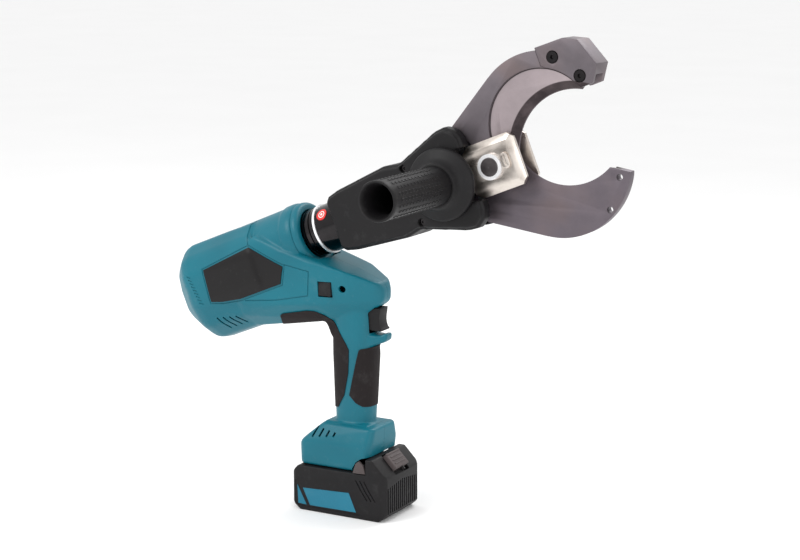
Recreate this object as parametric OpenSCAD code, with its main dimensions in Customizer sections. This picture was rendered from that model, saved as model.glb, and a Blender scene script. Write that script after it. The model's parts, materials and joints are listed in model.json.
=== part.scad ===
// Battery-hydraulic cable cutter with hooked shear jaws, a swivelling head,
// a side handle and a slide-on battery that it stands on.
// Row frame: origin at the centre of the battery's underside, +X towards the
// jaws, +Z up, millimetres. The barrel has its own frame: its origin is the
// centre of the nose ring's front face, local x runs forward along the barrel.

/* [Barrel] */
// Angle of the barrel above level
axis_tilt = 22; // [18:1:26]
// Forward place of the nose ring's front face
ring_x = -49; // [-60:1:-40]
// Height of the nose ring over the top of the foot
ring_rise = 200.5; // [190:1:241]
// Distance from the nose ring to the jaw pivot
head_reach = 236; // [226:1:290]
// Outer radius of the housing behind the nose ring
nose_r = 36; // [34:1:40]
// Outer radius of the motor housing
motor_housing_r = 45; // [43:1:52]
// Depth of the motor housing below its upper arc
motor_drop = 20; // [14:1:26]
// Length of the housing behind the nose ring
housing_len = 182; // [180:1:236]
// Wall of the plastic shells
shell_wall = 3; // [2:0.5:4]

/* [Grip and foot] */
// Front-to-back half width of the grip
grip_rx = 23; // [20:1:27]
// Half width of the grip across the tool
grip_ry = 18; // [16:1:21]
// Height of the foot over the battery
foot_h = 48; // [44:1:58]
// Half width of the foot across the tool
foot_hw = 33; // [31:1:36]

/* [Battery] */
// Length of the battery case
battery_len = 117; // [110:1:141]
// Width of the battery case
battery_w = 75; // [70:1:90]
// Height of the battery case under the foot
battery_h = 50; // [46:1:60]

/* [Hydraulics] */
// Outer radius of the hydraulic cylinder
cyl_r = 26; // [24.5:0.5:27]
// Bore radius of the hydraulic cylinder
cyl_bore_r = 20; // [17:0.5:21]
// Length of the hydraulic cylinder
cyl_len = 128; // [120:1:140]
// Radius of the piston rod
rod_r = 10; // [8:0.5:11]

/* [Jaws] */
// Thickness of each jaw at its root
jaw_t = 11; // [9:0.5:13]
// Gap between the two jaws, and half of it off the middle plane
jaw_gap = 0.4; // [0.3:0.1:0.8]
// Radius of the concave cutting edges
edge_r = 62; // [58:1:66]
// Radius of the jaws' outer curve
back_r = 76; // [74:1:80]
// Width of the ground bevel along each cutting edge
bevel_w = 9; // [6:1:11]
// Depth of the relief behind each bevel
relief = 2.5; // [1.5:0.5:3.5]
// Radius of the pivot pin
pivot_r = 11; // [9:0.5:13]
// Distance from the jaw pivot to each tail pin
tail_arm = 40; // [38:1:42]
// Length of each drive link between its pin centres
link_len = 50; // [48:1:54]
// Angle of the open tails above the barrel axis
tail_angle = 40; // [38:1:42]
// Radius of the tail pins
tail_pin_r = 5; // [4:0.5:5.5]
// Radius of the crosshead pin
cross_pin_r = 6; // [5:0.5:6.5]

/* [Cheeks and guard] */
// Thickness of the steel cheeks beside the jaws
cheek_t = 8; // [6:0.5:10]
// Half height of the cheeks at the pivot
cheek_hh = 27.5; // [25:0.5:29]
// Half height of the cheeks' tangs inside the guard
tang_hh = 19; // [17.5:0.5:21]
// Half thickness of the guard across the tool
guard_hy = 30; // [28:0.5:34]
// Wall of the guard
guard_wall = 3; // [2:0.5:3.5]

/* [Side handle] */
// Outer radius of the side handle's tube
handle_r = 20; // [17:0.5:24]
// Bore radius of the side handle
handle_bore_r = 14.5; // [12:0.5:16]
// Length of the side handle from its flange's seat
handle_len = 136; // [110:1:164]
// Radius of the side handle's flange
handle_flange_r = 37.5; // [32:0.5:40]

/* [Hidden] */
$fn = 64;
// fits and gaps
running = 0.05;
fit_gap = 0.3;
slide_gap = 0.4;
eye_clear = 2.3;
// places that follow from the driving sizes
foot_top = battery_h + foot_h;
ring_z = foot_top + ring_rise;
half_gap = jaw_gap / 2;
jaw_out = half_gap + jaw_t;
cheek_in = jaw_out + slide_gap;
cheek_out = cheek_in + cheek_t;
blade_out = jaw_out - relief;
// jaw and link geometry, pivot at the local origin, rear along -x
tail_x = -tail_arm * cos(tail_angle);
tail_w = tail_arm * sin(tail_angle);
link_angle = asin(tail_w / link_len);
cross_x = tail_x - link_len * cos(link_angle);
edge_c = [86, -15];
back_c = [64, 19];
tip_r = 142;
hub_r = 20;
tail_eye_r = 10;
link_eye_r = tail_pin_r + eye_clear + 3.7;
link_half = 8;
link_t = 5;
thin_out = jaw_out - link_t - 2 * fit_gap;
cross_s = head_reach + cross_x;
// hydraulics along the barrel
cyl_s0 = -24;
cyl_s1 = cyl_s0 + cyl_len;
cyl_end = 10;
base_flange = 10;
block_s0 = cyl_s1 + base_flange;
cross_len = 20;
block_s1 = cross_s - cross_len - 4;
piston_s0 = cyl_s0 + cyl_end + 2;
piston_len = 20;
spring_wire = 3;
tang_s0 = block_s0 + 2;
base_screw_s = (block_s0 + block_s1) / 2;
base_screw_w = 15;
base_screw_r = 3;
// guard
guard_s0 = 42;
guard_s1 = head_reach - 18;
lobe_hw = 54;
handle_s = head_reach - 52;
boss_r = 14;
bolt_r = 6;
// battery and foot
rail_hw = 22;
rail_h = 8;
tower_x0 = 33;

// ---------- helpers ----------

module on_barrel() {
    translate([ring_x, 0, ring_z]) rotate([0, -axis_tilt, 0]) children();
}

module on_pivot() {
    on_barrel() translate([head_reach, 0, 0]) children();
}

// cylinder along local x from a to b
module bar_x(r, a, b) {
    translate([a, 0, 0]) rotate([0, 90, 0]) cylinder(r = r, h = b - a);
}

// cylinder along y from a to b
module bar_y(r, a, b) {
    translate([0, b, 0]) rotate([90, 0, 0]) cylinder(r = r, h = b - a);
}

// outline in x and z, given thickness from y = a to y = b
module slab_y(a, b) {
    translate([0, b, 0]) rotate([90, 0, 0]) linear_extrude(b - a) children();
}

// box from one corner to the other
module box_to(lo, hi) {
    translate(lo) cube(hi - lo);
}

// hexagon socket recess along y, mouth at y = a, floor at y = b
module hex_y(r, a, b) {
    translate([0, b, 0]) rotate([90, 0, 0]) cylinder(r = r, h = b - a, $fn = 6);
}

// ring of points round one place on a coil
function coil_ring(r, wire, z, a, n) =
    [for (i = [0:n - 1]) let (b = 360 * i / n)
        [(r + wire * cos(b)) * cos(a), (r + wire * cos(b)) * sin(a), z + wire * sin(b)]];

// helical spring along +z from 0 to len, wire of radius wire
module coil(r, wire, len, turns) {
    n = 6;
    per = 14;
    steps = turns * per;
    points = [for (k = [0:steps])
        each coil_ring(r, wire, wire + (len - 2 * wire) * k / steps, 360 * k / per, n)];
    sides = [for (k = [0:steps - 1]) for (i = [0:n - 1])
        [k * n + i, (k + 1) * n + i, (k + 1) * n + (i + 1) % n, k * n + (i + 1) % n]];
    start = [for (i = [0:n - 1]) i];
    finish = [for (i = [n - 1:-1:0]) steps * n + i];
    polyhedron(points, concat([start], sides, [finish]));
}

// flips a near-side piece to the far side
module far_side() {
    mirror([0, 1, 0]) children();
}

// socket-head screw along y: head outside at y = seat, shank towards +y
module cap_screw(r, head_r, head_h, seat, tip) {
    difference() {
        union() {
            bar_y(head_r, seat - head_h, seat);
            bar_y(r, seat - head_h * 0.3, tip);
        }
        hex_y(r * 0.8, seat - head_h, seat - head_h * 0.4);
    }
}

// ---------- housing ----------

// motor housing: round ends on a deep oval, inset by d
module motor_form(d) {
    intersection() {
        slab_y(-60, 60) offset(r = -d) motor_side();
        translate([0, 0, -100]) linear_extrude(160) offset(r = -d) motor_plan();
        translate([-housing_len - 20, 0, 0]) rotate([90, 0, 90]) linear_extrude(housing_len)
            offset(r = -d) motor_section();
    }
}

motor_top_w = nose_r - motor_housing_r - 1;
motor_rear_s = motor_housing_r - housing_len;

// outline of the motor housing seen from the side
module motor_side() {
    intersection() {
        translate([motor_rear_s, motor_top_w - motor_drop]) offset(r = motor_housing_r, $fn = 48)
            square([housing_len, motor_drop]);
        motor_taper(motor_top_w - motor_drop - motor_housing_r);
    }
}

// outline of the motor housing seen from above
module motor_plan() {
    intersection() {
        translate([motor_rear_s, -1]) offset(r = motor_housing_r - 1, $fn = 48) square([housing_len, 2]);
        motor_taper(-motor_housing_r);
    }
}

// long shape that narrows to the nose at the front
module motor_taper(low) {
    polygon([[-housing_len - 5, low - 1], [-86, low - 1], [-66, 3 - nose_r], [-66, nose_r - 3],
        [-86, motor_housing_r + 1], [-housing_len - 5, motor_housing_r + 1]]);
}

module motor_section() {
    translate([-1, motor_top_w - motor_drop]) offset(r = motor_housing_r - 1, $fn = 56)
        square([2, motor_drop]);
}

// neck of the housing above the trigger, inset by d
module nose_form(d) {
    intersection() {
        slab_y(-60, 60) hull($fn = 32) {
            translate([-119.7, 233]) circle(r = 38 - d);
            translate([-77, 276]) circle(r = 32 - d);
            translate([ring_x + 69, foot_top + 142]) circle(r = 18 - d);
            translate([ring_x + 71, foot_top + 136]) circle(r = 16 - d);
            translate([-10, foot_top + 112]) circle(r = 17 - d);
        }
        linear_extrude(400) hull($fn = 32) {
            translate([-119.7, 0]) circle(r = 38 - d);
            translate([-77, 0]) circle(r = 34 - d);
            translate([ring_x + 70, 0]) circle(r = 18 - d);
        }
        translate([-200, 0, 0]) rotate([90, 0, 90]) linear_extrude(260) neck_section(d);
    }
}

module neck_section(d) {
    polygon([[d - 38, foot_top + 142], [d - 17, foot_top + 95 + d], [17 - d, foot_top + 95 + d],
        [38 - d, foot_top + 142], [38 - d, 400], [d - 38, 400]]);
}

// grip below the trigger, inset by d
module grip_form(d) {
    hull($fn = 40) {
        translate([-6, 0, foot_top + 108]) scale([1, 0.8, 1]) cylinder(r = grip_rx - 1 - d, h = 2);
        translate([1, 0, foot_top + 76]) scale([1, grip_ry / grip_rx, 1])
            cylinder(r = grip_rx + 4 - d, h = 2);
        translate([-1, 0, foot_top - 4]) scale([1, grip_ry / grip_rx, 1]) cylinder(r = grip_rx - d, h = 4);
    }
}

// foot that spreads over the battery, inset by d
module foot_form(d) {
    foot_z = battery_h + fit_gap + 0.2;
    hull($fn = 32) {
        for (x = [-44, 24], y = [-1, 1])
            translate([x, y * (foot_hw - 8), foot_z]) cylinder(r = 8 - d, h = 22);
        for (x = [-24, 18], y = [-1, 1])
            translate([x, y * (grip_ry - 4), foot_z + 32]) cylinder(r = 8 - d, h = 12);
    }
}

module trigger_slot() {
    box_to([4, -10.2, foot_top + 99], [60, 10.2, foot_top + 128]);
}

module housing_body() {
    difference() {
        union() {
            on_barrel() motor_form(0);
            on_barrel() bar_x(nose_r, -70, -6);
            nose_form(0);
            grip_form(0);
            foot_form(0);
            // finger guard lip under the trigger
            box_to([8, -11, foot_top + 92], [42, 11, foot_top + 99]);
        }
        difference() {
            union() {
                on_barrel() motor_form(shell_wall);
                on_barrel() bar_x(nose_r - shell_wall, -72, -10);
                nose_inside();
                grip_inside();
            }
            at_screws() bar_y(boss_out_r, -60, 60);
        }
        on_barrel() bar_x(cyl_r + fit_gap, -30, 10);
        on_barrel() bar_x(nose_r - 0.5 + fit_gap, -5.7 - fit_gap, 30);
        translate([trigger_x, 0, trigger_z - 3]) bar_y(2.02, -12.5, 12.5);
        trigger_slot();
        foot_pocket();
        button_hole();
        housing_vents();
        screw_holes();
        lens_seat();
    }
}

module nose_inside() {
    hull($fn = 32) {
        on_barrel() translate([-60, 0, -34]) sphere(r = 26);
        translate([-10, 0, foot_top + 112]) sphere(r = 13);
        translate([ring_x + 65, 0, foot_top + 140]) sphere(r = 12);
    }
}

module grip_inside() {
    translate([-2, 0, foot_top - 10]) linear_extrude(126)
        square([2 * grip_rx - 14, 2 * grip_ry - 12], center = true);
}

// room for the battery's rail, open to the front
module foot_pocket() {
    box_to([-44, -rail_hw - fit_gap, battery_h - 1], [60, rail_hw + fit_gap, battery_h + 4 + fit_gap]);
    box_to([-44, -rail_hw - 4 - fit_gap, battery_h + 4],
        [60, rail_hw + 4 + fit_gap, battery_h + rail_h + fit_gap]);
    box_to([-36, -foot_hw + 8, battery_h + rail_h], [18, foot_hw - 8, battery_h + 30]);
}

button_x = -18;
button_z = foot_top + 148;
button_hw = 7.5;
button_y = -33;

module button_hole() {
    box_to([button_x - button_hw - fit_gap, -40, button_z - button_hw - fit_gap],
        [button_x + button_hw + fit_gap, -16, button_z + button_hw + fit_gap]);
}

// cooling slots low on the motor housing and on the foot's shoulder
module housing_vents() {
    for (side = [-1, 1]) {
        for (i = [0:3])
            on_barrel() translate([-133 + 8 * i, side * 40, -52]) rotate([0, 35, 0])
                cube([2.4, 24, 24], center = true);
        for (i = [0:3])
            translate([-32 + 9 * i, side * (foot_hw - 4), foot_top - 20]) cube([2.4, 16, 10], center = true);
    }
}

// shell screws: the first goes in from the near side, the others from the far side
near_spot = [1, foot_top + 149];
screw_spots = [[-10, foot_top + 58], [-41.5, foot_top - 29], [24, foot_top - 33]];
barrel_spots = [[-150, -55], [-150, 27], [-104, -62]];
screw_r = 2;
screw_head_r = 3.6;
screw_seat = -14;
boss_out_r = 6;

module at_screws() {
    translate([near_spot[0], 0, near_spot[1]]) children();
    far_side() {
        for (p = screw_spots) translate([p[0], 0, p[1]]) children();
        on_barrel() for (p = barrel_spots) translate([p[0], 0, p[1]]) children();
    }
}

module screw_holes() {
    at_screws() {
        bar_y(screw_head_r + fit_gap, -70, screw_seat + 3);
        bar_y(screw_r + running, -70, 12);
    }
}

module half(side) {
    lo = side < 0 ? -120 : 0;
    intersection() {
        housing_body();
        box_to([-400, lo, 0], [200, lo + 120, 500]);
    }
}

module shell_near() {
    color("teal") half(-1);
}

module shell_far() {
    color("teal") half(1);
}

// threaded ring that closes the front of the housing round the cylinder
module nose_ring() {
    color("teal") on_barrel() rotate([0, 90, 0]) rotate_extrude()
        polygon([[cyl_r + fit_gap, -5.7], [nose_r - 0.5, -5.7], [nose_r - 0.5, -1.5], [nose_r - 3, 1.5],
            [cyl_r + 3, 1.5], [cyl_r + fit_gap, -0.5]]);
}

module shell_screws() {
    color("dimgray") at_screws() difference() {
        union() {
            bar_y(screw_head_r, screw_seat, screw_seat + 3);
            bar_y(screw_r, screw_seat + 3, 10);
        }
        hex_y(1.6, screw_seat, screw_seat + 1.6);
    }
}

// ---------- soft pads and plates ----------

pad_t = 2;

// outline of the pad down the back of the grip
module back_pad_outline() {
    polygon([[-82, foot_top + 118], [-48, foot_top + 112], [-22, foot_top + 108], [-7, foot_top + 92],
        [-4, foot_top + 70], [-10, foot_top + 30], [-22, foot_top + 18], [-60, foot_top + 18],
        [-60, foot_top + 96], [-82, foot_top + 96]]);
}

module front_pad_outline() {
    polygon([[10, foot_top + 82], [40, foot_top + 84], [40, foot_top + 20], [16, foot_top + 20],
        [3, foot_top + 32]]);
}

module back_grip_pad() {
    color("black") intersection() {
        difference() {
            grip_form(-pad_t);
            grip_form(-fit_gap / 2);
            nose_form(-fit_gap / 2);
        }
        slab_y(-40, 40) back_pad_outline();
    }
}

module side_grip_pads() {
    color("black") intersection() {
        difference() {
            grip_form(-pad_t);
            grip_form(-fit_gap / 2);
            nose_form(-fit_gap / 2);
        }
        slab_y(-40, 40) front_pad_outline();
    }
}

// blank plate that follows the side of the motor housing
module label_plate() {
    intersection() {
        difference() {
            union() {
                on_barrel() motor_form(-1);
                nose_form(-1);
            }
            on_barrel() motor_form(-fit_gap / 4);
            nose_form(-fit_gap / 4);
            on_barrel() bar_x(nose_r + fit_gap / 4, -72, 0);
        }
        on_barrel() slab_y(-60, -29)
            polygon([[-131, 2], [-70, 8], [-38, -24], [-46, -38], [-122, -34], [-136, -26]]);
    }
}

module label_plates() {
    color("black") {
        label_plate();
        far_side() label_plate();
    }
}

lens_x = ring_x + 80;
lens_z = foot_top + 150;

module lens_seat() {
    translate([lens_x - 6, 0, lens_z]) rotate([0, 60, 0]) cylinder(r = 4.2, h = 20);
}

module led_lens() {
    color("white") translate([lens_x - 6, 0, lens_z]) rotate([0, 60, 0]) cylinder(r = 4, h = 7);
}

// ---------- electrics ----------

board_z = battery_h + rail_h + 10;

module control_board() {
    color("green") {
        translate([-9, 0, board_z]) cube([50, 38, 1.6], center = true);
        for (x = [-24, -10]) translate([x, 0, board_z + 0.8]) cylinder(r = 5, h = 10);
        translate([6, 0, board_z + 4.3]) cube([14, 24, 7], center = true);
    }
}

module trigger_switch() {
    color("dimgray") {
        translate([-9, 0, foot_top + 114]) cube([18, 16, 22], center = true);
        translate([-1, 0, foot_top + 118]) rotate([0, 90, 0]) cylinder(r = 2.5, h = 5);
    }
}

contact_y = [-12, 0, 12];

module terminal_block() {
    color("dimgray") {
        box_to([-34, -18, battery_h + rail_h + 0.8], [-8, 18, battery_h + rail_h + 7]);
        for (y = contact_y)
            box_to([-31, y - 0.6, battery_h + 2.5], [-15, y + 0.6, battery_h + rail_h + 0.8]);
    }
}

// ---------- motor, gearbox and pump ----------

motor_w = -20;
shaft_r = 4;
can_r = 24;
can_s0 = 18 - housing_len;

module on_motor() {
    on_barrel() translate([0, 0, motor_w]) children();
}

module motor_can() {
    color("silver") on_motor() difference() {
        bar_x(can_r, can_s0, -122);
        bar_x(can_r - 3, can_s0 + 4, -126);
        bar_x(shaft_r + running, can_s0 - 2, -120);
    }
}

module motor_rotor() {
    color("silver") on_motor() {
        bar_x(shaft_r, can_s0 - 6, -104);
        bar_x(15, can_s0 + 10, -132);
        difference() {
            bar_x(22, can_s0 - 8, can_s0 - 3);
            for (i = [0:7]) rotate([45 * i, 0, 0]) translate([can_s0 - 6, 0, 14])
                cube([8, 3, 10], center = true);
        }
    }
}

module gearbox() {
    color("gray") on_motor() difference() {
        bar_x(can_r, -121.5, -96);
        bar_x(can_r - 4, -117, -99);
        bar_x(shaft_r + running, -123, -110);
        bar_x(cam_shaft_r + running, -105, -95);
    }
}

cam_shaft_r = 5;
cam_r = 9;
cam_throw = 1.5;
plunger_r = 4;
plunger_w0 = cam_r + cam_throw + fit_gap;

module pump_cam() {
    color("silver") on_motor() {
        bar_x(cam_shaft_r, -102, -62);
        translate([0, cam_throw, 0]) bar_x(cam_r, -72, -64);
        bar_x(10, -102, -100);
    }
}

// cast block with the cam chamber, the plunger bore and the swivel socket
module pump_block() {
    color("gray") on_barrel() difference() {
        union() {
            bar_x(28, -92, -28);
            box_to([-92, -16, -34], [-52, 16, 0]);
        }
        translate([0, 0, motor_w]) {
            bar_x(cam_shaft_r + running, -96, -60);
            bar_x(13, -76, -60);
        }
        translate([-68, 0, motor_w]) cylinder(r = plunger_r + running, h = 34);
        bar_x(spigot_r + running, -44, -20);
    }
}

module pump_plunger() {
    color("silver") on_motor() translate([-68, 0, plunger_w0]) cylinder(r = plunger_r, h = 14);
}

module oil_reservoir() {
    color("black") on_barrel() box_to([-116, -16, 6], [-94, 16, 24]);
}

// ---------- trigger and button ----------

trigger_x = 15;
trigger_z = foot_top + 126;

module trigger() {
    color("black") {
        difference() {
            slab_y(-9, 9) polygon([[trigger_x - 6, trigger_z + 1], [trigger_x + 20, trigger_z + 1],
                [trigger_x + 19.5, trigger_z - 11], [trigger_x + 24, trigger_z - 20],
                [trigger_x + 16, trigger_z - 22.5], [trigger_x - 5, trigger_z - 22.5]]);
            translate([trigger_x, 0, trigger_z - 3]) bar_y(2 + running, -10, 10);
            box_to([trigger_x - 7, -6, trigger_z - 20], [trigger_x + 8, 6, trigger_z - 7]);
        }
    }
}

module trigger_pin() {
    color("silver") translate([trigger_x, 0, trigger_z - 3]) bar_y(2, -12.5, 12.5);
}

trigger_spring_z = trigger_z - 15.5;

module trigger_spring() {
    color("silver") translate([0.3, 0, trigger_spring_z]) rotate([0, 90, 0])
        coil(3.5, 0.5, trigger_x + 7.4, 7);
}

module release_button() {
    color("black") difference() {
        box_to([button_x - button_hw, button_y, button_z - button_hw],
            [button_x + button_hw, button_y + 12, button_z + button_hw]);
        translate([button_x, 0, button_z]) bar_y(5, button_y + 3, button_y + 13);
    }
}

module button_spring() {
    color("silver") translate([button_x, button_y + 3.2, button_z]) rotate([-90, 0, 0])
        coil(3.5, 0.5, 12, 5);
}

// ---------- swivelling head ----------

spigot_r = 12;
ring_s = 18;
badge_s = 29;

module cylinder_body() {
    difference() {
        union() {
            bar_x(cyl_r, cyl_s0, cyl_s1);
            bar_x(spigot_r, cyl_s0 - 18, cyl_s0);
        }
        bar_x(cyl_bore_r, cyl_s0 + cyl_end, cyl_s1 + 1);
        bar_x(3, cyl_s0 - 20, cyl_s0 + cyl_end + 1);
        // grooves round the part of the cylinder that shows
        for (s = [4, 10]) rotate([0, 90, 0]) rotate_extrude()
            translate([cyl_r - 1.2, s]) square([2, 1.6]);
        rotate([0, 90, 0]) rotate_extrude() translate([cyl_r - 2, ring_s - 1.5]) square([3, 3]);
    }
}

module cylinder_tube() {
    color("black") on_barrel() cylinder_body();
}

module retaining_ring() {
    color("silver") on_barrel() difference() {
        bar_x(cyl_r + 1.2, ring_s - 1.3, ring_s + 1.3);
        bar_x(cyl_r - 2 + running, ring_s - 2, ring_s + 2);
    }
}

// blank round badge lying on the collar
module collar_badge() {
    color("red") on_barrel() rotate([-36, 0, 0]) intersection() {
        difference() {
            bar_x(cyl_r + 0.5, badge_s - 9, badge_s + 9);
            bar_x(cyl_r + 0.06, badge_s - 10, badge_s + 10);
        }
        translate([badge_s, 0, 0]) rotate([90, 0, 0]) cylinder(r = 6.5, h = 60);
    }
}

module head_base() {
    color("dimgray") on_barrel() difference() {
        union() {
            bar_x(cyl_bore_r - running, cyl_s1 - 12, cyl_s1);
            bar_x(cyl_r, cyl_s1, block_s0);
            box_to([block_s0, -cheek_in, -tang_hh - 1], [block_s1, cheek_in, tang_hh + 1]);
        }
        bar_x(rod_r + running, cyl_s1 - 13, block_s1 + 1);
        for (side = [-1, 1], w = [-base_screw_w, base_screw_w])
            translate([base_screw_s, 0, w])
                bar_y(base_screw_r + 0.02, side > 0 ? 1.5 : -14, side > 0 ? 14 : -1.5);
        bar_y_at(guard_screw_s, 0, guard_screw_r + 0.02, -cyl_r - 1, -cyl_r + 8);
        bar_y_at(guard_screw_s, 0, guard_screw_r + 0.02, cyl_r - 8, cyl_r + 1);
    }
}

module bar_y_at(s, w, r, a, b) {
    translate([s, 0, w]) bar_y(r, a, b);
}

// one cheek: a chamfered block beside the jaws and a tang back into the guard
module cheek() {
    front = head_reach + 33;
    back = head_reach - 26;
    cut = 6;
    difference() {
        union() {
            slab_y(-cheek_out, -cheek_in) polygon([[back, -cheek_hh + cut], [back + cut, -cheek_hh],
                [front - cut, -cheek_hh], [front, -cheek_hh + cut], [front, cheek_hh - cut],
                [front - cut, cheek_hh], [back + cut, cheek_hh], [back, cheek_hh - cut]]);
            box_to([tang_s0, -cheek_out, -tang_hh], [back + 2, -cheek_in, tang_hh]);
        }
        bar_y_at(head_reach, 0, pivot_r + running, -cheek_out - 1, -cheek_in + 1);
        for (w = [-base_screw_w, base_screw_w])
            bar_y_at(base_screw_s, w, base_screw_r + fit_gap, -cheek_out - 1, -cheek_in + 1);
        cheek_chamfers(back, front);
    }
}

// slopes round the outer face of a cheek's block
module cheek_chamfers(back, front) {
    slope = 7;
    deep = 4;
    translate([front, -cheek_out, 0]) linear_extrude(80, center = true)
        polygon([[1, -1], [1, deep], [0, deep], [-slope, 0], [-slope, -1]]);
    for (flip = [0, 1]) mirror([0, 0, flip])
        translate([0, 0, cheek_hh]) rotate([90, 0, 90]) translate([-cheek_out, 0, back - 1])
            linear_extrude(front - back + 2)
                polygon([[-1, 1], [deep, 1], [deep, 0], [0, -slope], [-1, -slope]]);
}

module cheek_near() {
    color("lightgray") on_barrel() difference() {
        union() {
            cheek();
            bar_y_at(handle_s, 0, boss_r, -guard_hy + 0.5, -cheek_out);
        }
        bar_y_at(handle_s, 0, bolt_r + 0.02, -guard_hy, -cheek_in + 1);
        bar_y_at(head_reach + key_s, key_w, 2.02, -cheek_out - 1, -cheek_out + 5);
    }
}

module cheek_far() {
    color("lightgray") on_barrel() far_side() cheek();
}

module cheek_screws() {
    color("black") on_barrel() for (w = [-base_screw_w, base_screw_w]) {
        translate([base_screw_s, 0, w]) {
            cap_screw(base_screw_r, 4.6, 4, -cheek_out, -3);
            far_side() cap_screw(base_screw_r, 4.6, 4, -cheek_out, -3);
        }
    }
}

pin_head_r = 13.2;
pin_head_t = 3;
cap_r = 9.6;

module pivot_pin() {
    color("white") on_pivot() difference() {
        union() {
            bar_y(pivot_r, -cheek_out, cheek_out + 5);
            bar_y(pin_head_r, -cheek_out - pin_head_t, -cheek_out);
        }
        bar_y(cap_r + 0.02, -cheek_out - pin_head_t - 1, -cheek_out - 1);
    }
}

module pin_cap() {
    color("dimgray") on_pivot() translate([0, -cheek_out - 1, 0]) rotate([90, 0, 0]) rotate_extrude()
        polygon([[0, 0], [cap_r, 0], [cap_r, pin_head_t - 0.8], [cap_r - 1, pin_head_t],
            [0, pin_head_t + 0.6]]);
}

module pin_nut() {
    color("silver") on_pivot() translate([0, cheek_out, 0]) rotate([-90, 0, 0]) difference() {
        cylinder(r = 17, h = 6, $fn = 6);
        translate([0, 0, -1]) cylinder(r = pivot_r + 0.02, h = 6 + 2);
    }
}

key_s = 18.5;
key_w = 1;

// small plate and screw that stop the pin from turning
module key_plate() {
    color("silver") on_pivot() translate([key_s, 0, key_w]) difference() {
        union() {
            slab_y(-cheek_out - 2.2, -cheek_out) union() {
                translate([0, 4]) circle(r = 4.2);
                translate([0, -4]) circle(r = 4.2);
                square([8.4, 8], center = true);
            }
            bar_y(2, -cheek_out, -cheek_out + 4.5);
        }
        translate([0, -cheek_out - 2.2, 0]) cube([1.4, 2, 9], center = true);
    }
}

// ---------- guard ----------

guard_screw_s = cyl_s1 + base_flange / 2;
guard_screw_r = 2.5;
joint_s = cross_s - 17;
joint_w = 29;
joint_seat = -guard_hy + guard_wall + 3.2;

function guard_side() = [[guard_s0, 25], [guard_s0 + 5, 30], [guard_s0 + 18, 33], [122, 39], [140, 35.5],
    [guard_s1 - 26, 53], [guard_s1 - 14, lobe_hw], [guard_s1 - 4, 47], [guard_s1, 38]];

module guard_outline() {
    side = guard_side();
    n = len(side);
    polygon(concat(side, [for (i = [n - 1:-1:0]) [side[i][0], -side[i][1]]]));
}

module guard_half() {
    cheek_front = guard_s1 - 10;
    lobe_in = jaw_out + slide_gap + 0.8;
    difference() {
        union() {
            slab_y(-guard_hy + 4, 0) guard_outline();
            slab_y(-guard_hy, -guard_hy + 4.01) offset(delta = -3) guard_outline();
        }
        slab_y(-guard_hy + guard_wall, 1) intersection() {
            offset(delta = -guard_wall) guard_outline();
            translate([block_s0 - fit_gap, -100]) square([guard_s1 - 12 - block_s0, 200]);
        }
        bar_x(cyl_r + fit_gap, guard_s0 - 1, block_s0 + 1);
        // slot for the jaws, open at the front, top and bottom
        box_to([guard_s1 - 32, -lobe_in, -70], [300, 1, 70]);
        // notch for the cheek
        box_to([guard_s1 - 14, -cheek_out - fit_gap, -cheek_hh - fit_gap], [300, 1, cheek_hh + fit_gap]);
        box_to([cheek_front, -40, -cheek_hh - fit_gap], [300, 1, cheek_hh + fit_gap]);
        bar_y_at(guard_screw_s, 0, guard_screw_r + fit_gap, -40, 0);
        bar_y_at(guard_screw_s, 0, 5, -40, -cyl_r - 1.5);
        for (w = [-joint_w, joint_w]) bar_y_at(joint_s, w, 4, -40, joint_seat);
    }
    difference() {
        for (w = [-joint_w, joint_w]) bar_y_at(joint_s, w, 5.5, -guard_hy + guard_wall, 0);
        for (w = [-joint_w, joint_w]) {
            bar_y_at(joint_s, w, 2 + running, -40, 1);
            bar_y_at(joint_s, w, 4, -40, joint_seat);
        }
    }
}

module guard_near() {
    color("black") on_barrel() difference() {
        guard_half();
        bar_y_at(handle_s, 0, boss_r + fit_gap, -40, -20);
    }
}

module guard_far() {
    color("black") on_barrel() far_side() guard_half();
}

module guard_screws() {
    color("dimgray") on_barrel() {
        translate([guard_screw_s, 0, 0]) {
            cap_screw(guard_screw_r, 4.2, 2.4, -cyl_r - 1.5, -cyl_r + 7);
            far_side() cap_screw(guard_screw_r, 4.2, 2.4, -cyl_r - 1.5, -cyl_r + 7);
        }
        for (w = [-joint_w, joint_w]) translate([joint_s, 0, w])
            cap_screw(2, 3.6, 2.2, joint_seat, 20);
    }
}

// ---------- side handle ----------

flange_seat = 10;
handle_floor = flange_seat + 4;
handle_well = handle_floor + 16;
handle_well_r = handle_bore_r - 1.1;

// place of the handle's seat on the guard, z pointing outwards along it
module on_handle() {
    on_barrel() translate([handle_s, -guard_hy, 0]) rotate([90, 0, 0]) children();
}

// dished disc that keeps the hand off the guard and holds the tube's end
module handle_flange() {
    color("black") on_handle() rotate_extrude() polygon([[bolt_r + fit_gap, 0], [handle_flange_r - 2, 0],
        [handle_flange_r, 2], [handle_flange_r, 6], [handle_flange_r - 3, 9], [handle_r + 6, 13],
        [handle_r + 2.4, 20], [handle_r + running, 20], [handle_r + running, flange_seat],
        [bolt_r + fit_gap, flange_seat]]);
}

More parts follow.
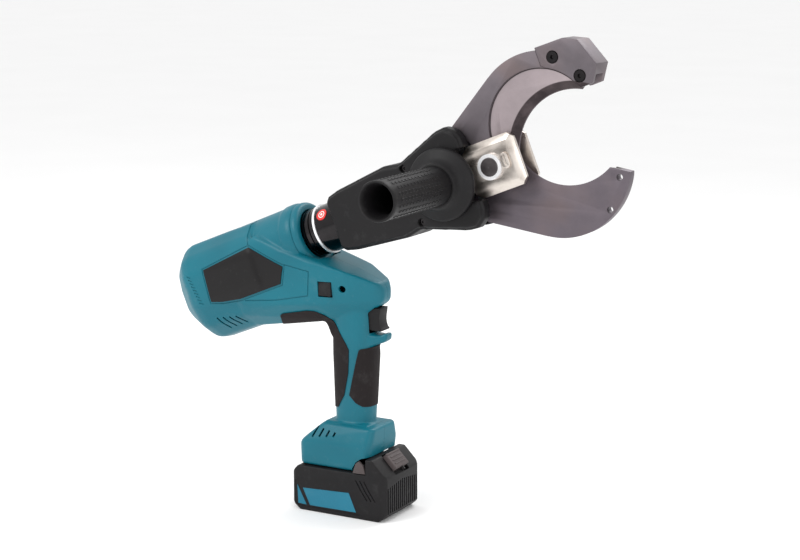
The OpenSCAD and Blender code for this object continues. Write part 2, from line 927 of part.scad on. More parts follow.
module side_handle() {
    color("black") on_handle() difference() {
        rotate_extrude() polygon([[bolt_r + fit_gap, flange_seat], [handle_r, flange_seat],
            [handle_r, handle_len - 6], [handle_r + 0.6, handle_len - 4], [handle_r + 0.6, handle_len - 1],
            [handle_r - 0.4, handle_len], [handle_bore_r, handle_len], [handle_bore_r, handle_well],
            [handle_well_r, handle_well], [handle_well_r, handle_floor], [bolt_r + fit_gap, handle_floor]]);
        // shallow grooves of the textured grip
        for (i = [0:11]) rotate([0, 0, 30 * i]) translate([handle_r + 0.2, 0, 44])
            cylinder(r = 1.1, h = handle_len - 60, $fn = 16);
    }
}

module handle_bolt() {
    floor_y = -guard_hy - handle_floor;
    color("silver") on_barrel() translate([handle_s, 0, 0]) {
        cap_screw(bolt_r, 9.5, 10, floor_y - 2, -cheek_in - 1);
        difference() {
            bar_y(handle_well_r - 0.4, floor_y - 2, floor_y);
            bar_y(bolt_r, floor_y - 3, floor_y + 1);
        }
    }
}

// ---------- ram ----------

module piston() {
    color("silver") on_barrel() difference() {
        union() {
            bar_x(cyl_bore_r - running, piston_s0, piston_s0 + piston_len);
            bar_x(rod_r, piston_s0 + piston_len, cross_s - cross_len + 8);
        }
        rotate([0, 90, 0]) rotate_extrude() translate([cyl_bore_r - 3, piston_s0 + 7]) square([4, 6]);
    }
}

module piston_seal() {
    color("black") on_barrel() rotate([0, 90, 0]) rotate_extrude()
        translate([cyl_bore_r - 3, piston_s0 + 7]) square([3 - running, 6]);
}

tongue_hy = thin_out;

module crosshead() {
    color("dimgray") on_barrel() difference() {
        union() {
            box_to([cross_s - cross_len, -jaw_out, -14], [cross_s - 12, jaw_out, 14]);
            box_to([cross_s - 12.5, -tongue_hy, -10], [cross_s, tongue_hy, 10]);
            bar_y_at(cross_s, 0, 10, -tongue_hy, tongue_hy);
        }
        bar_x(rod_r + 0.02, cross_s - cross_len - 1, cross_s - cross_len + 8.02);
        bar_y_at(cross_s, 0, cross_pin_r + 0.02, -20, 20);
    }
}

module crosshead_pin() {
    color("silver") on_barrel() bar_y_at(cross_s, 0, cross_pin_r, -jaw_out, jaw_out);
}

module return_spring() {
    s0 = piston_s0 + piston_len + 0.5;
    color("silver") on_barrel() translate([s0, 0, 0]) rotate([0, 90, 0])
        coil(rod_r + 2.5 + spring_wire / 2, spring_wire / 2, cyl_s1 - 12.5 - s0, 8);
}

// one link, lying from the crosshead pin up to the tail pin
module link() {
    color("gray") on_pivot() translate([cross_x, 0, 0]) rotate([0, -link_angle, 0])
        slab_y(-jaw_out, -jaw_out + link_t) difference() {
            union() {
                circle(r = link_eye_r);
                translate([link_len, 0]) circle(r = link_eye_r);
                translate([0, -link_half]) square([link_len, 2 * link_half]);
            }
            circle(r = cross_pin_r + running);
            translate([link_len, 0]) circle(r = tail_pin_r + eye_clear);
        }
}

module link_upper() {
    link();
}

module link_lower() {
    turned_over() link();
}

// the lower jaw's side is the upper one turned half a turn about the barrel
module turned_over() {
    translate([ring_x, 0, ring_z]) rotate([0, -axis_tilt, 0]) rotate([180, 0, 0])
        rotate([0, axis_tilt, 0]) translate([-ring_x, 0, -ring_z]) children();
}

// ---------- jaws ----------

step_c = [63, 21];
step_r = 57.5;

// the hooked blade between the outer curve and the cutting edge, with its root
module blade_outline() {
    difference() {
        union() {
            difference() {
                translate(back_c) circle(r = back_r, $fn = 180);
                translate([-60, -100]) square([140, 100]);
            }
            polygon([[-33, 51], [26, 85], [60, 60], [18, -8], [-10, -14], [-16, 8], [-37, 20], [-40, 32]]);
            circle(r = hub_r);
        }
        translate(edge_c) circle(r = edge_r, $fn = 180);
        polygon([[100, 32], [160, 68], [160, -90], [60, -90], [60, -20]]);
    }
}

// room that the link needs beside the tail as the jaw turns
module link_room() {
    r = link_eye_r + eye_clear + 0.4;
    translate([tail_x, tail_w]) {
        circle(r = r);
        for (a = [205, 222, 239, 256, 272]) rotate(a)
            translate([0, -link_half - 2.4]) square([60, 2 * link_half + 4.8]);
    }
}

module jaw_body() {
    difference() {
        union() {
            slab_y(-jaw_out, -half_gap) difference() {
                intersection() {
                    blade_outline();
                    circle(r = tip_r, $fn = 180);
                }
                difference() {
                    link_room();
                    circle(r = hub_r);
                }
            }
            slab_y(-thin_out, -half_gap) union() {
                translate([tail_x, tail_w]) circle(r = tail_eye_r);
                polygon([[tail_x - 8, tail_w - 6], [-12, -10], [0, 18], [-20, 44],
                    [tail_x - 2, tail_w + 9.5]]);
            }
        }
        translate([step_c[0], 0, step_c[1]]) bar_y(step_r, -jaw_out - 1, -blade_out, $fn = 120);
        translate([edge_c[0], -half_gap, edge_c[1]]) rotate([90, 0, 0])
            cylinder(r1 = edge_r, r2 = edge_r + bevel_w, h = jaw_t - relief);
        bar_y(pivot_r + running, -jaw_out - 1, 1);
        translate([tail_x, 0, tail_w]) bar_y(tail_pin_r + 0.02, -20, 1);
    }
}

guide_spots = [[120, 53], [99, 80]];
guide_hole_r = 3.3;
leg_t = 6;
lip_t = 7;

module guide_spots() {
    for (p = guide_spots) translate([p[0], 0, p[1]]) children();
}

module tip_outline() {
    polygon([[84, 95], [115, 94], [130, 87], [141, 58], [130, 42], [117, 42], [108, 56], [84, 76]]);
}

module upper_jaw() {
    color("slategray") on_pivot() difference() {
        jaw_body();
        slab_y(-jaw_out - 1, -jaw_out + leg_t + 0.02) difference() {
            union() {
                offset(delta = 0.02) tip_outline();
                polygon([[100, 30], [126, 30], [126, 60], [100, 60]]);
            }
            translate(step_c) circle(r = step_r - 0.02, $fn = 120);
        }
        guide_spots() bar_y(guide_hole_r - 0.28, -20, 1);
    }
}

module leg_outline() {
    difference() {
        tip_outline();
        translate(step_c) circle(r = step_r, $fn = 120);
    }
}

// slotted guide that wraps the upper jaw's tip and steers the lower one
module guide_block() {
    bridge_r = tip_r + 1.2;
    lip_in = jaw_out + slide_gap;
    color("slategray") on_pivot() difference() {
        union() {
            slab_y(-jaw_out, -jaw_out + leg_t) leg_outline();
            slab_y(-jaw_out, lip_in + lip_t) difference() {
                tip_outline();
                circle(r = bridge_r, $fn = 180);
            }
            slab_y(lip_in, lip_in + lip_t) leg_outline();
        }
        guide_spots() {
            bar_y(guide_hole_r, -20, -jaw_out + leg_t + 1);
            bar_y(6.4, -20, -jaw_out + 4.2);
        }
    }
}

module guide_screws() {
    color("black") on_pivot() guide_spots() cap_screw(3, 5.6, 3.8, -jaw_out + 4.2, -half_gap - 0.4);
}

module upper_tail_pin() {
    color("silver") on_pivot() translate([tail_x, 0, tail_w]) bar_y(tail_pin_r, -jaw_out, -half_gap);
}

module lower_jaw() {
    color("slategray") turned_over() on_pivot() difference() {
        jaw_body();
        guide_spots() bar_y(guide_hole_r, -20, 1);
    }
}

module lower_tail_pin() {
    turned_over() upper_tail_pin();
}

// ---------- battery ----------

latch_deg = 45;

module battery_side(d) {
    half_len = battery_len / 2;
    polygon([[-half_len + 10 + d, d], [-half_len + d, 8 + d], [-half_len + d, battery_h - 8],
        [-half_len + 8 + d, battery_h - d], [tower_x0 + d, battery_h - d], [tower_x0 + d, battery_h + 17 - d],
        [tower_x0 + 8, battery_h + 17 - d], [half_len - d, battery_h - 1], [half_len - d, 8 + d],
        [half_len - 9 - d, d]]);
}

module battery_plan(d) {
    half_len = battery_len / 2 - d;
    half_w = battery_w / 2 - d;
    cut = 4;
    polygon([[-half_len, -half_w + cut], [-half_len + cut, -half_w], [half_len - cut, -half_w],
        [half_len, -half_w + cut], [half_len, half_w - cut], [half_len - cut, half_w],
        [-half_len + cut, half_w], [-half_len, half_w - cut]]);
}

module on_latch() {
    translate([tower_x0 + 17, 0, battery_h + 8.3]) rotate([0, latch_deg, 0]) children();
}

module battery_case() {
    color("dimgray") difference() {
        intersection() {
            slab_y(-60, 60) battery_side(0);
            linear_extrude(200) battery_plan(0);
        }
        intersection() {
            slab_y(-60, 60) battery_side(2.5);
            linear_extrude(battery_h - 2.5) battery_plan(2.5);
        }
        // well for the latch in the sloped front
        on_latch() cube([26, 30, 12], center = true);
    }
}

module battery_cells() {
    color("teal") for (row = [0, 1], i = [-2:2])
        translate([20.2 * i, 0, 12.5 + 19.5 * row]) bar_y(9, -32.5, 32.5);
}

module battery_rail() {
    color("dimgray") difference() {
        union() {
            box_to([-42, -rail_hw, battery_h], [28, rail_hw, battery_h + 4.5]);
            box_to([-42, -rail_hw - 4, battery_h + 4.5], [28, rail_hw + 4, battery_h + rail_h]);
        }
        for (y = contact_y) box_to([-43, y - 3, battery_h + 1.5], [-10, y + 3, battery_h + rail_h + 1]);
    }
}

module battery_contacts() {
    color("gold") for (y = contact_y, side = [-1, 1])
        translate([0, side * 1.6 + y, 0]) box_to([-30, -0.5, battery_h + 1.5], [-11, 0.5, battery_h + 7]);
}

module battery_latch() {
    color("gray") on_latch() difference() {
        translate([-1.5, 0, -0.5]) cube([19, 28, 10.4], center = true);
        for (i = [-1:1]) translate([4 * i - 1.5, 0, 5.2]) cube([1.6, 20, 2], center = true);
    }
}

module latch_spring() {
    color("silver") on_latch() translate([8.2, 0, 2]) rotate([0, 90, 0]) coil(1.6, 0.4, 4.6, 5);
}

module battery_label() {
    color("lightgray") for (side = [-1, 1]) translate([0, side * (battery_w / 2 + 0.3), 0])
        slab_y(-0.29, 0.29) {
            polygon([[-battery_len / 2 + 14, 25], [13, 27.5], [22, 7], [-battery_len / 2 + 23, 6.5]]);
            polygon([[-battery_len / 2 + 7, 28], [-battery_len / 2 + 18.5, 6.5],
                [-battery_len / 2 + 8, 7]]);
        }
}

shell_near();
shell_far();
nose_ring();
shell_screws();
back_grip_pad();
side_grip_pads();
label_plates();
led_lens();
control_board();
trigger_switch();
motor_can();
gearbox();
pump_block();
oil_reservoir();
terminal_block();
motor_rotor();
pump_cam();
pump_plunger();
trigger();
trigger_pin();
trigger_spring();
release_button();
button_spring();
cylinder_tube();
retaining_ring();
collar_badge();
head_base();
cheek_near();
cheek_far();
cheek_screws();
pivot_pin();
pin_cap();
pin_nut();
key_plate();
guard_near();
guard_far();
guard_screws();
handle_flange();
side_handle();
handle_bolt();
piston();
piston_seal();
crosshead();
crosshead_pin();
return_spring();
link_upper();
link_lower();
upper_jaw();
upper_tail_pin();
guide_block();
guide_screws();
lower_jaw();
lower_tail_pin();
battery_case();
battery_cells();
battery_rail();
battery_contacts();
battery_latch();
latch_spring();
battery_label();
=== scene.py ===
"""Looks of a battery-hydraulic cable cutter with hooked shear jaws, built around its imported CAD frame."""

import json
import math

import bmesh
import bpy
from mathutils import Matrix, Vector


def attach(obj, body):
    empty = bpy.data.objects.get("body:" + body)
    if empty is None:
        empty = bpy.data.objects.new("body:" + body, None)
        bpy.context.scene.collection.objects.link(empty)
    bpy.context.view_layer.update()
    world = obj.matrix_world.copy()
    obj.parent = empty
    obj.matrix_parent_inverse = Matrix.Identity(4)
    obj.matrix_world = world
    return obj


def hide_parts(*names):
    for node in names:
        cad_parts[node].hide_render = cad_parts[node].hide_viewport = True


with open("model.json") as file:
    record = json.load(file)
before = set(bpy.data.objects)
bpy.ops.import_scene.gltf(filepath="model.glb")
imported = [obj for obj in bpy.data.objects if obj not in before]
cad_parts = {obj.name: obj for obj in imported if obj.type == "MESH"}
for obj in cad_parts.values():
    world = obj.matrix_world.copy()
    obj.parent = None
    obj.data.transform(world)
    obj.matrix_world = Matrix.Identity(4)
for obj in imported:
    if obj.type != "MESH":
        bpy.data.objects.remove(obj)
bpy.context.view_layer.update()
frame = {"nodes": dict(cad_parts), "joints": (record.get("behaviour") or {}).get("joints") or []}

MM = 0.001
JOINTS = {joint["name"]: joint for joint in frame["joints"]}
NODES = frame["nodes"]


# ---------- places on the tool ----------

AHEAD = Vector(JOINTS["head_swivel"]["axis"]).normalized()
PIVOT = Vector(JOINTS["upper_jaw_pivot"]["pos_m"])
HEAD_REACH = 236 * MM
RING = PIVOT - Vector((0, PIVOT.y, 0)) - HEAD_REACH * AHEAD
TILT = math.atan2(AHEAD.z, AHEAD.x)
# barrel frame: x runs forward from the nose ring's front face, z is up across the barrel
BARREL = Matrix.Translation(RING) @ Matrix.Rotation(-TILT, 4, "Y")
JAW = Matrix.Translation(HEAD_REACH * AHEAD) @ BARREL
GUARD_HY = 30
HANDLE_S = 184


# ---------- shaping ----------

def merged_copy(node):
    """A bmesh of a CAD node with its triangles joined at shared corners."""
    shape = bmesh.new()
    shape.from_mesh(NODES[node].data)
    bmesh.ops.remove_doubles(shape, verts=shape.verts, dist=2e-6)
    return shape


def flat_faces_whole(shape, degrees=0.3):
    bmesh.ops.dissolve_limit(shape, angle_limit=math.radians(degrees), verts=shape.verts, edges=shape.edges)


def hull(points):
    """Closed convex solid round points in millimetres."""
    shape = bmesh.new()
    for point in points:
        shape.verts.new(Vector(point) * MM)
    result = bmesh.ops.convex_hull(shape, input=shape.verts)
    loose = {v for v in result["geom_interior"] + result["geom_unused"] if isinstance(v, bmesh.types.BMVert)}
    bmesh.ops.delete(shape, geom=list(loose), context="VERTS")
    flat_faces_whole(shape, 1)
    bmesh.ops.recalc_face_normals(shape, faces=shape.faces)
    return shape


def rounded(shape, radius, segments=3, sharper_than=20):
    """Bevels every edge that turns by more than sharper_than degrees. The radius is in millimetres."""
    edges = [e for e in shape.edges
             if e.is_manifold and e.calc_face_angle(0) > math.radians(sharper_than)]
    bmesh.ops.bevel(shape, geom=edges, offset=radius * MM, offset_type="OFFSET", segments=segments,
                    profile=0.5, affect="EDGES", clamp_overlap=True, material=-1)
    return shape


def prism(outline, low, high, place=Matrix.Identity(4)):
    """Outline of (x, z) in millimetres, from y = low to y = high, in the frame of place."""
    shape = bmesh.new()
    ring = [shape.verts.new(Vector((x, low, z)) * MM) for x, z in outline]
    face = shape.faces.new(ring)
    grown = bmesh.ops.extrude_face_region(shape, geom=[face])["geom"]
    moved = [v for v in grown if isinstance(v, bmesh.types.BMVert)]
    bmesh.ops.translate(shape, vec=Vector((0, high - low, 0)) * MM, verts=moved)
    bmesh.ops.recalc_face_normals(shape, faces=shape.faces)
    bmesh.ops.transform(shape, matrix=place, verts=shape.verts)
    return shape


def circle(x, z, radius, steps=20):
    """Outline of a circle, in millimetres."""
    return [(x + radius * math.cos(math.tau * i / steps), z + radius * math.sin(math.tau * i / steps))
            for i in range(steps)]


def band(path, width):
    """Outline of a line of the given width along path, all in millimetres."""
    sides = ([], [])
    for i, point in enumerate(path):
        before = Vector(path[max(i - 1, 0)])
        after = Vector(path[min(i + 1, len(path) - 1)])
        along = (after - before).normalized()
        across = Vector((-along.y, along.x)) * width / 2
        sides[0].append(tuple(Vector(point) + across))
        sides[1].append(tuple(Vector(point) - across))
    return sides[0] + sides[1][::-1]


def turned(profile, place, steps=64):
    """Solid of revolution round the frame's x axis from (x, radius) points in millimetres."""
    shape = bmesh.new()
    line = [shape.verts.new(Vector((x, 0, r)) * MM) for x, r in profile]
    edges = [shape.edges.new(pair) for pair in zip(line, line[1:])]
    bmesh.ops.spin(shape, geom=line + edges, cent=(0, 0, 0), axis=(1, 0, 0), angle=math.tau,
                   steps=steps, use_merge=True)
    bmesh.ops.remove_doubles(shape, verts=shape.verts, dist=1e-6)
    bmesh.ops.holes_fill(shape, edges=[e for e in shape.edges if e.is_boundary], sides=0)
    bmesh.ops.recalc_face_normals(shape, faces=shape.faces)
    bmesh.ops.transform(shape, matrix=place, verts=shape.verts)
    return shape


def block(low, high, place=Matrix.Identity(4)):
    """Box between two corners in millimetres, in the frame of place."""
    shape = bmesh.new()
    bmesh.ops.create_cube(shape, size=1)
    low, high = Vector(low) * MM, Vector(high) * MM
    bmesh.ops.scale(shape, vec=high - low, verts=shape.verts)
    bmesh.ops.translate(shape, vec=(high + low) / 2, verts=shape.verts)
    bmesh.ops.transform(shape, matrix=place, verts=shape.verts)
    return shape


def joined(shapes):
    """One bmesh that holds all of shapes, which are used up."""
    whole = bmesh.new()
    for shape in shapes:
        mesh = bpy.data.meshes.new("part")
        shape.to_mesh(mesh)
        whole.from_mesh(mesh)
        bpy.data.meshes.remove(mesh)
        shape.free()
    return whole


def as_object(shape, name="work"):
    mesh = bpy.data.meshes.new(name)
    shape.to_mesh(mesh)
    shape.free()
    item = bpy.data.objects.new(name, mesh)
    bpy.context.scene.collection.objects.link(item)
    return item


def discard(item):
    mesh = item.data
    bpy.data.objects.remove(item)
    bpy.data.meshes.remove(mesh)


def applied(shape, kind, other=None, **settings):
    """The shape after one modifier. The other shape, if any, is its second operand."""
    item = as_object(shape)
    modifier = item.modifiers.new(kind, kind)
    for key, value in settings.items():
        setattr(modifier, key, value)
    tool = None
    if other is not None:
        tool = as_object(other, "tool")
        modifier.object = tool
    seen = item.evaluated_get(bpy.context.evaluated_depsgraph_get())
    result = bmesh.new()
    mesh = seen.to_mesh()
    result.from_mesh(mesh)
    seen.to_mesh_clear()
    discard(item)
    if tool is not None:
        discard(tool)
    return result


def less(shape, other):
    return applied(shape, "BOOLEAN", other, operation="DIFFERENCE", solver="MANIFOLD")


def within(shape, other):
    return applied(shape, "BOOLEAN", other, operation="INTERSECT", solver="MANIFOLD")


def fused(shape, voxel, rounds):
    """One skin round overlapping solids, smoothed. The voxel is in millimetres."""
    skin = applied(shape, "REMESH", mode="VOXEL", voxel_size=voxel * MM, adaptivity=0)
    for _ in range(rounds):
        bmesh.ops.smooth_vert(skin, verts=skin.verts, factor=0.5,
                              use_axis_x=True, use_axis_y=True, use_axis_z=True)
    return skin


def grown(skin, distance, voxel):
    """A copy of a skin moved out along its normals, or in where distance is negative, in millimetres."""
    copy = skin.copy()
    copy.normal_update()
    for vert in copy.verts:
        vert.co += vert.normal * distance * MM
    return fused(copy, voxel, 1)


def mirrored(points):
    """Points with x, y, z, and the same ones across the middle plane."""
    return [p for x, y, z in points for p in ((x, y, z), (x, -y, z))]


# ---------- pieces ----------

def piece(name, shape, body, slot, *stands_for, crease=35):
    """Finishes a shape as a piece that rides on a body and wears a slot's finish."""
    item = as_object(shape, name)
    item.data.shade_smooth()
    item.data.set_sharp_from_angle(angle=math.radians(crease))
    item.data.materials.append(FINISHES[slot])
    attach(item, body)
    if stands_for:
        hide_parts(*stands_for)
    return item


def softened(node, body, slot, radius, name=None, segments=2, sharper_than=25, finish=None):
    """A CAD node with its edges rounded, in its place."""
    shape = merged_copy(node)
    flat_faces_whole(shape)
    shape = rounded(shape, radius, segments, sharper_than)
    item = piece(name or node + "_finished", shape, body, slot, node, crease=40)
    if finish is not None:
        item.data.materials[0] = finish
    return item


# ---------- finishes ----------

class Signal:
    """A node's output that Python's operators work on."""

    def __init__(self, paint, socket):
        self.paint = paint
        self.socket = socket

    def maths(self, operation, *values):
        return self.paint.add("Math", {"operation": operation}, dict(enumerate(values)))

    def __add__(self, other):
        return self.maths("ADD", self, other)

    def __sub__(self, other):
        return self.maths("SUBTRACT", self, other)

    def __rsub__(self, other):
        return self.maths("SUBTRACT", other, self)

    def __mul__(self, other):
        return self.maths("MULTIPLY", self, other)

    __radd__ = __add__
    __rmul__ = __mul__

    def between(self, low, high):
        """Smooth rise from 0 at low to 1 at high."""
        return self.paint.add("MapRange", {"interpolation_type": "SMOOTHSTEP"},
                              {"Value": self, "From Min": low, "From Max": high,
                               "To Min": 0.0, "To Max": 1.0})


def linear(red, green, blue):
    """Linear colour of a paint given in the usual 0 to 255 steps."""
    def channel(value):
        value /= 255
        return value / 12.92 if value <= 0.04045 else ((value + 0.055) / 1.055) ** 2.4
    return (channel(red), channel(green), channel(blue), 1)


class Paint:
    """One procedural material, mapped in object coordinates."""

    def __init__(self, name):
        self.material = bpy.data.materials.new(name)
        self.material.use_nodes = True
        self.tree = self.material.node_tree
        self.tree.nodes.clear()
        self.output = self.tree.nodes.new("ShaderNodeOutputMaterial")
        self.place = self.add("TexCoord", output="Object")

    def add(self, kind, settings=None, sockets=None, output=0):
        node = self.tree.nodes.new("ShaderNode" + kind)
        for key, value in (settings or {}).items():
            setattr(node, key, value)
        for key, value in (sockets or {}).items():
            if isinstance(value, Signal):
                self.tree.links.new(value.socket, node.inputs[key])
            else:
                node.inputs[key].default_value = value
        return Signal(self, node.outputs[output])

    def noise(self, per_metre, detail=3.0, stretch=(1, 1, 1), roughness=0.5):
        spot = self.add("Mapping", None, {"Vector": self.place, "Scale": stretch})
        return self.add("TexNoise", None, {"Vector": spot, "Scale": per_metre, "Detail": detail,
                                           "Roughness": roughness})

    def mix(self, share, first, second):
        return self.add("Mix", {"data_type": "RGBA"}, {0: share, 6: first, 7: second}, output=2)

    def bump(self, height, distance):
        return self.add("Bump", None, {"Height": height, "Distance": distance, "Strength": 1.0})

    def across(self, axis):
        """Place along one axis, in metres."""
        return self.add("SeparateXYZ", None, {0: self.place}, output=axis)

    def reach(self, centre):
        """Distance in metres from a line along y through centre."""
        shifted = self.add("VectorMath", {"operation": "SUBTRACT"}, {0: self.place, 1: tuple(centre)})
        flat = self.add("VectorMath", {"operation": "MULTIPLY"}, {0: shifted, 1: (1, 0, 1)})
        return self.add("VectorMath", {"operation": "LENGTH"}, {0: flat}, output="Value")

    def finish(self, **sockets):
        names = {"colour": "Base Color", "roughness": "Roughness", "metallic": "Metallic",
                 "coat": "Coat Weight", "coat_roughness": "Coat Roughness", "normal": "Normal",
                 "specular": "Specular IOR Level", "transmission": "Transmission Weight", "ior": "IOR"}
        shader = self.add("BsdfPrincipled", None, {names[key]: value for key, value in sockets.items()},
                          output="BSDF")
        self.tree.links.new(shader.socket, self.output.inputs["Surface"])
        return self.material


def moulded(name, dark, light, roughness, grain_mm, grain_depth, coat=0.0, wear=0.012):
    """Moulded plastic or rubber with a fine grain, uneven sheen and rubbed patches."""
    paint = Paint(name)
    patches = paint.noise(9, 4).between(0.3, 0.7)
    grain = paint.noise(1000 / grain_mm, 2)
    rubbed = paint.noise(38, 6, roughness=0.7).between(0.56, 0.72)
    dust = paint.noise(230, 3).between(0.6, 0.8)
    colour = paint.mix(patches, dark, light)
    colour = paint.mix((dust + rubbed) * wear, colour, (0.6, 0.6, 0.6, 1))
    gloss = roughness + patches * 0.06 - rubbed * 0.09 + grain * 0.05
    return paint.finish(colour=colour, roughness=gloss, coat=coat, coat_roughness=0.25, specular=0.28,
                        normal=paint.bump(grain, grain_depth * MM))


def ground(name, dark, light, roughness, along, depth=0.02, metallic=1.0, coat=0.0):
    """Ground or turned metal: fine lines along one direction, mottling and handling marks."""
    paint = Paint(name)
    lines = paint.noise(300, 3, stretch=along)
    mottle = paint.noise(45, 5, roughness=0.62).between(0.32, 0.68)
    marks = paint.noise(90, 6, roughness=0.75).between(0.62, 0.74)
    colour = paint.mix(mottle * 0.7 + lines * 0.3, dark, light)
    gloss = roughness + mottle * 0.08 + marks * 0.1 - lines * 0.06
    return paint.finish(colour=colour, roughness=gloss, metallic=metallic, coat=coat,
                        normal=paint.bump(lines + marks * 0.4, depth * MM))


def blade_steel(name, face, crescent, place, side):
    """Jaw steel: a mauve-grey ground face, a paler crescent inside the relief step, a painted shadow in a
    thin dark ring just inside the step, and a dark bevel.

    The crescent and the bevel are on the outer side only: side is -1 for the near jaw, 1 for the far one.
    """
    paint = Paint(name)
    outer = (paint.across("Y") * side).between(0.5 * MM, 1.0 * MM)
    step = paint.reach(place @ (Vector((63, 0, 21)) * MM))
    edge = paint.reach(place @ (Vector((86, 0, -15)) * MM))
    in_step = (1 - step.between(57.2 * MM, 57.6 * MM)) * outer
    # painted shadow: a thin ring just inside the relief step, where the step casts its shadow on the
    # crescent
    thin_band = step.between(55.9 * MM, 56.3 * MM) * in_step
    bevel = (1 - edge.between(70.2 * MM, 71.2 * MM)) * outer
    lines = paint.noise(260, 4, stretch=(1, 1, 9))
    mottle = paint.noise(38, 6, roughness=0.66).between(0.3, 0.7)
    heat = paint.noise(11, 3).between(0.46, 0.7)
    base = paint.mix(mottle * 0.6 + lines * 0.3, linear(*[c * 0.86 for c in face]), linear(*face))
    base = paint.mix(heat * 0.5, base, linear(126, 108, 104))
    pale = paint.mix(mottle * 0.6 + lines * 0.4, linear(*[c * 0.88 for c in crescent]), linear(*crescent))
    colour = paint.mix(in_step, base, pale)
    # the painted step shadow darkens that thin ring nearly to black
    colour = paint.mix(thin_band * 0.85, colour, linear(30, 24, 26))
    colour = paint.mix(bevel, colour, paint.mix(mottle, linear(52, 45, 47), linear(84, 74, 76)))
    gloss = 0.42 + mottle * 0.12 + lines * 0.08 - bevel * 0.08
    return paint.finish(colour=colour, roughness=gloss, metallic=0.85,
                        normal=paint.bump(lines + mottle * 0.5, 0.03 * MM))


def badge_red():
    """Red with a plain white ring and dot, centred on the collar's round badge."""
    paint = Paint("badge_red")
    centre = BARREL @ Matrix.Rotation(math.radians(-36), 4, "X")
    outwards = centre.to_3x3() @ Vector((0, -1, 0))
    middle = centre @ (Vector((29, -26.5, 0)) * MM)
    shifted = paint.add("VectorMath", {"operation": "SUBTRACT"}, {0: paint.place, 1: tuple(middle)})
    turned_off = paint.add("VectorMath", {"operation": "CROSS_PRODUCT"}, {0: shifted, 1: tuple(outwards)})
    reach = paint.add("VectorMath", {"operation": "LENGTH"}, {0: turned_off}, output="Value")
    ring = reach.between(2.9 * MM, 3.1 * MM) * (1 - reach.between(3.8 * MM, 4 * MM))
    dot = 1 - reach.between(1.3 * MM, 1.5 * MM)
    speck = paint.noise(900, 3)
    red = paint.mix(speck, linear(188, 14, 14), linear(232, 34, 28))
    colour = paint.mix(ring + dot, red, linear(240, 236, 232))
    return paint.finish(colour=colour, roughness=0.22 + speck * 0.1, coat=0.5,
                        normal=paint.bump(speck, 0.01 * MM))


TEAL = linear(0, 92, 108)
TEAL_PALE = linear(2, 103, 119)
FINISHES = {
    "teal_plastic": moulded("teal_plastic", TEAL, TEAL_PALE, 0.4, 0.9, 0.012, coat=0.08, wear=0.02),
    "black_plastic": moulded("black_plastic", linear(9, 8, 10), linear(17, 15, 17), 0.5, 0.8, 0.02),
    "grip_rubber": moulded("grip_rubber", linear(20, 14, 15), linear(29, 21, 22), 0.72, 1.3, 0.09),
    "label_black": moulded("label_black", linear(4, 2, 3), linear(8, 4, 6), 0.36, 1.5, 0.004, coat=0.05),
    "label_light": moulded("label_light", linear(16, 98, 122), linear(28, 112, 136), 0.34, 1.5, 0.004,
                           coat=0.1),
    "badge_red": badge_red(),
    "button_grey": moulded("button_grey", linear(66, 58, 58), linear(82, 74, 74), 0.46, 0.8, 0.02),
    "cheek_steel": ground("cheek_steel", linear(182, 172, 164), linear(222, 214, 206), 0.3, (1, 1, 8)),
    "black_steel": ground("black_steel", linear(12, 10, 12), linear(34, 30, 32), 0.2, (6, 1, 1), coat=0.5),
    "bright_steel": ground("bright_steel", linear(232, 232, 234), linear(252, 252, 253), 0.34, (1, 6, 1),
                           metallic=0.55),
    "dome_steel": ground("dome_steel", linear(54, 50, 51), linear(84, 80, 81), 0.42, (1, 1, 1), depth=0.08,
                         metallic=0.6),
    "plain_steel": ground("plain_steel", linear(146, 146, 150), linear(176, 176, 180), 0.36, (5, 1, 5)),
    "cast_alloy": ground("cast_alloy", linear(142, 144, 148), linear(166, 168, 172), 0.5, (1, 1, 1),
                         depth=0.08),
    "board_green": moulded("board_green", linear(16, 84, 42), linear(26, 104, 54), 0.4, 1.2, 0.01),
    "contact_brass": ground("contact_brass", linear(196, 156, 84), linear(226, 190, 116), 0.28, (4, 1, 1)),
    "cell_wrap": moulded("cell_wrap", linear(40, 116, 130), linear(58, 138, 150), 0.34, 1.5, 0.01),
    "bladder_rubber": moulded("bladder_rubber", linear(30, 29, 30), linear(44, 42, 43), 0.62, 1.2, 0.05),
}
TURNED_JAW = BARREL @ Matrix.Rotation(math.pi, 4, "X") @ Matrix.Translation((HEAD_REACH, 0, 0))
FINISHES["jaw_steel"] = blade_steel("jaw_steel", (116, 109, 114), (170, 158, 161), JAW, -1)
LOWER_STEEL = blade_steel("lower_jaw_steel", (112, 104, 111), (170, 158, 161), TURNED_JAW, 1)


def clear_lens():
    paint = Paint("lens_clear")
    ripple = paint.noise(300, 2)
    return paint.finish(colour=paint.mix(ripple, linear(226, 236, 242), linear(246, 250, 252)),
                        roughness=0.12 + ripple * 0.08, transmission=0.6, ior=1.49,
                        normal=paint.bump(ripple, 0.01 * MM))


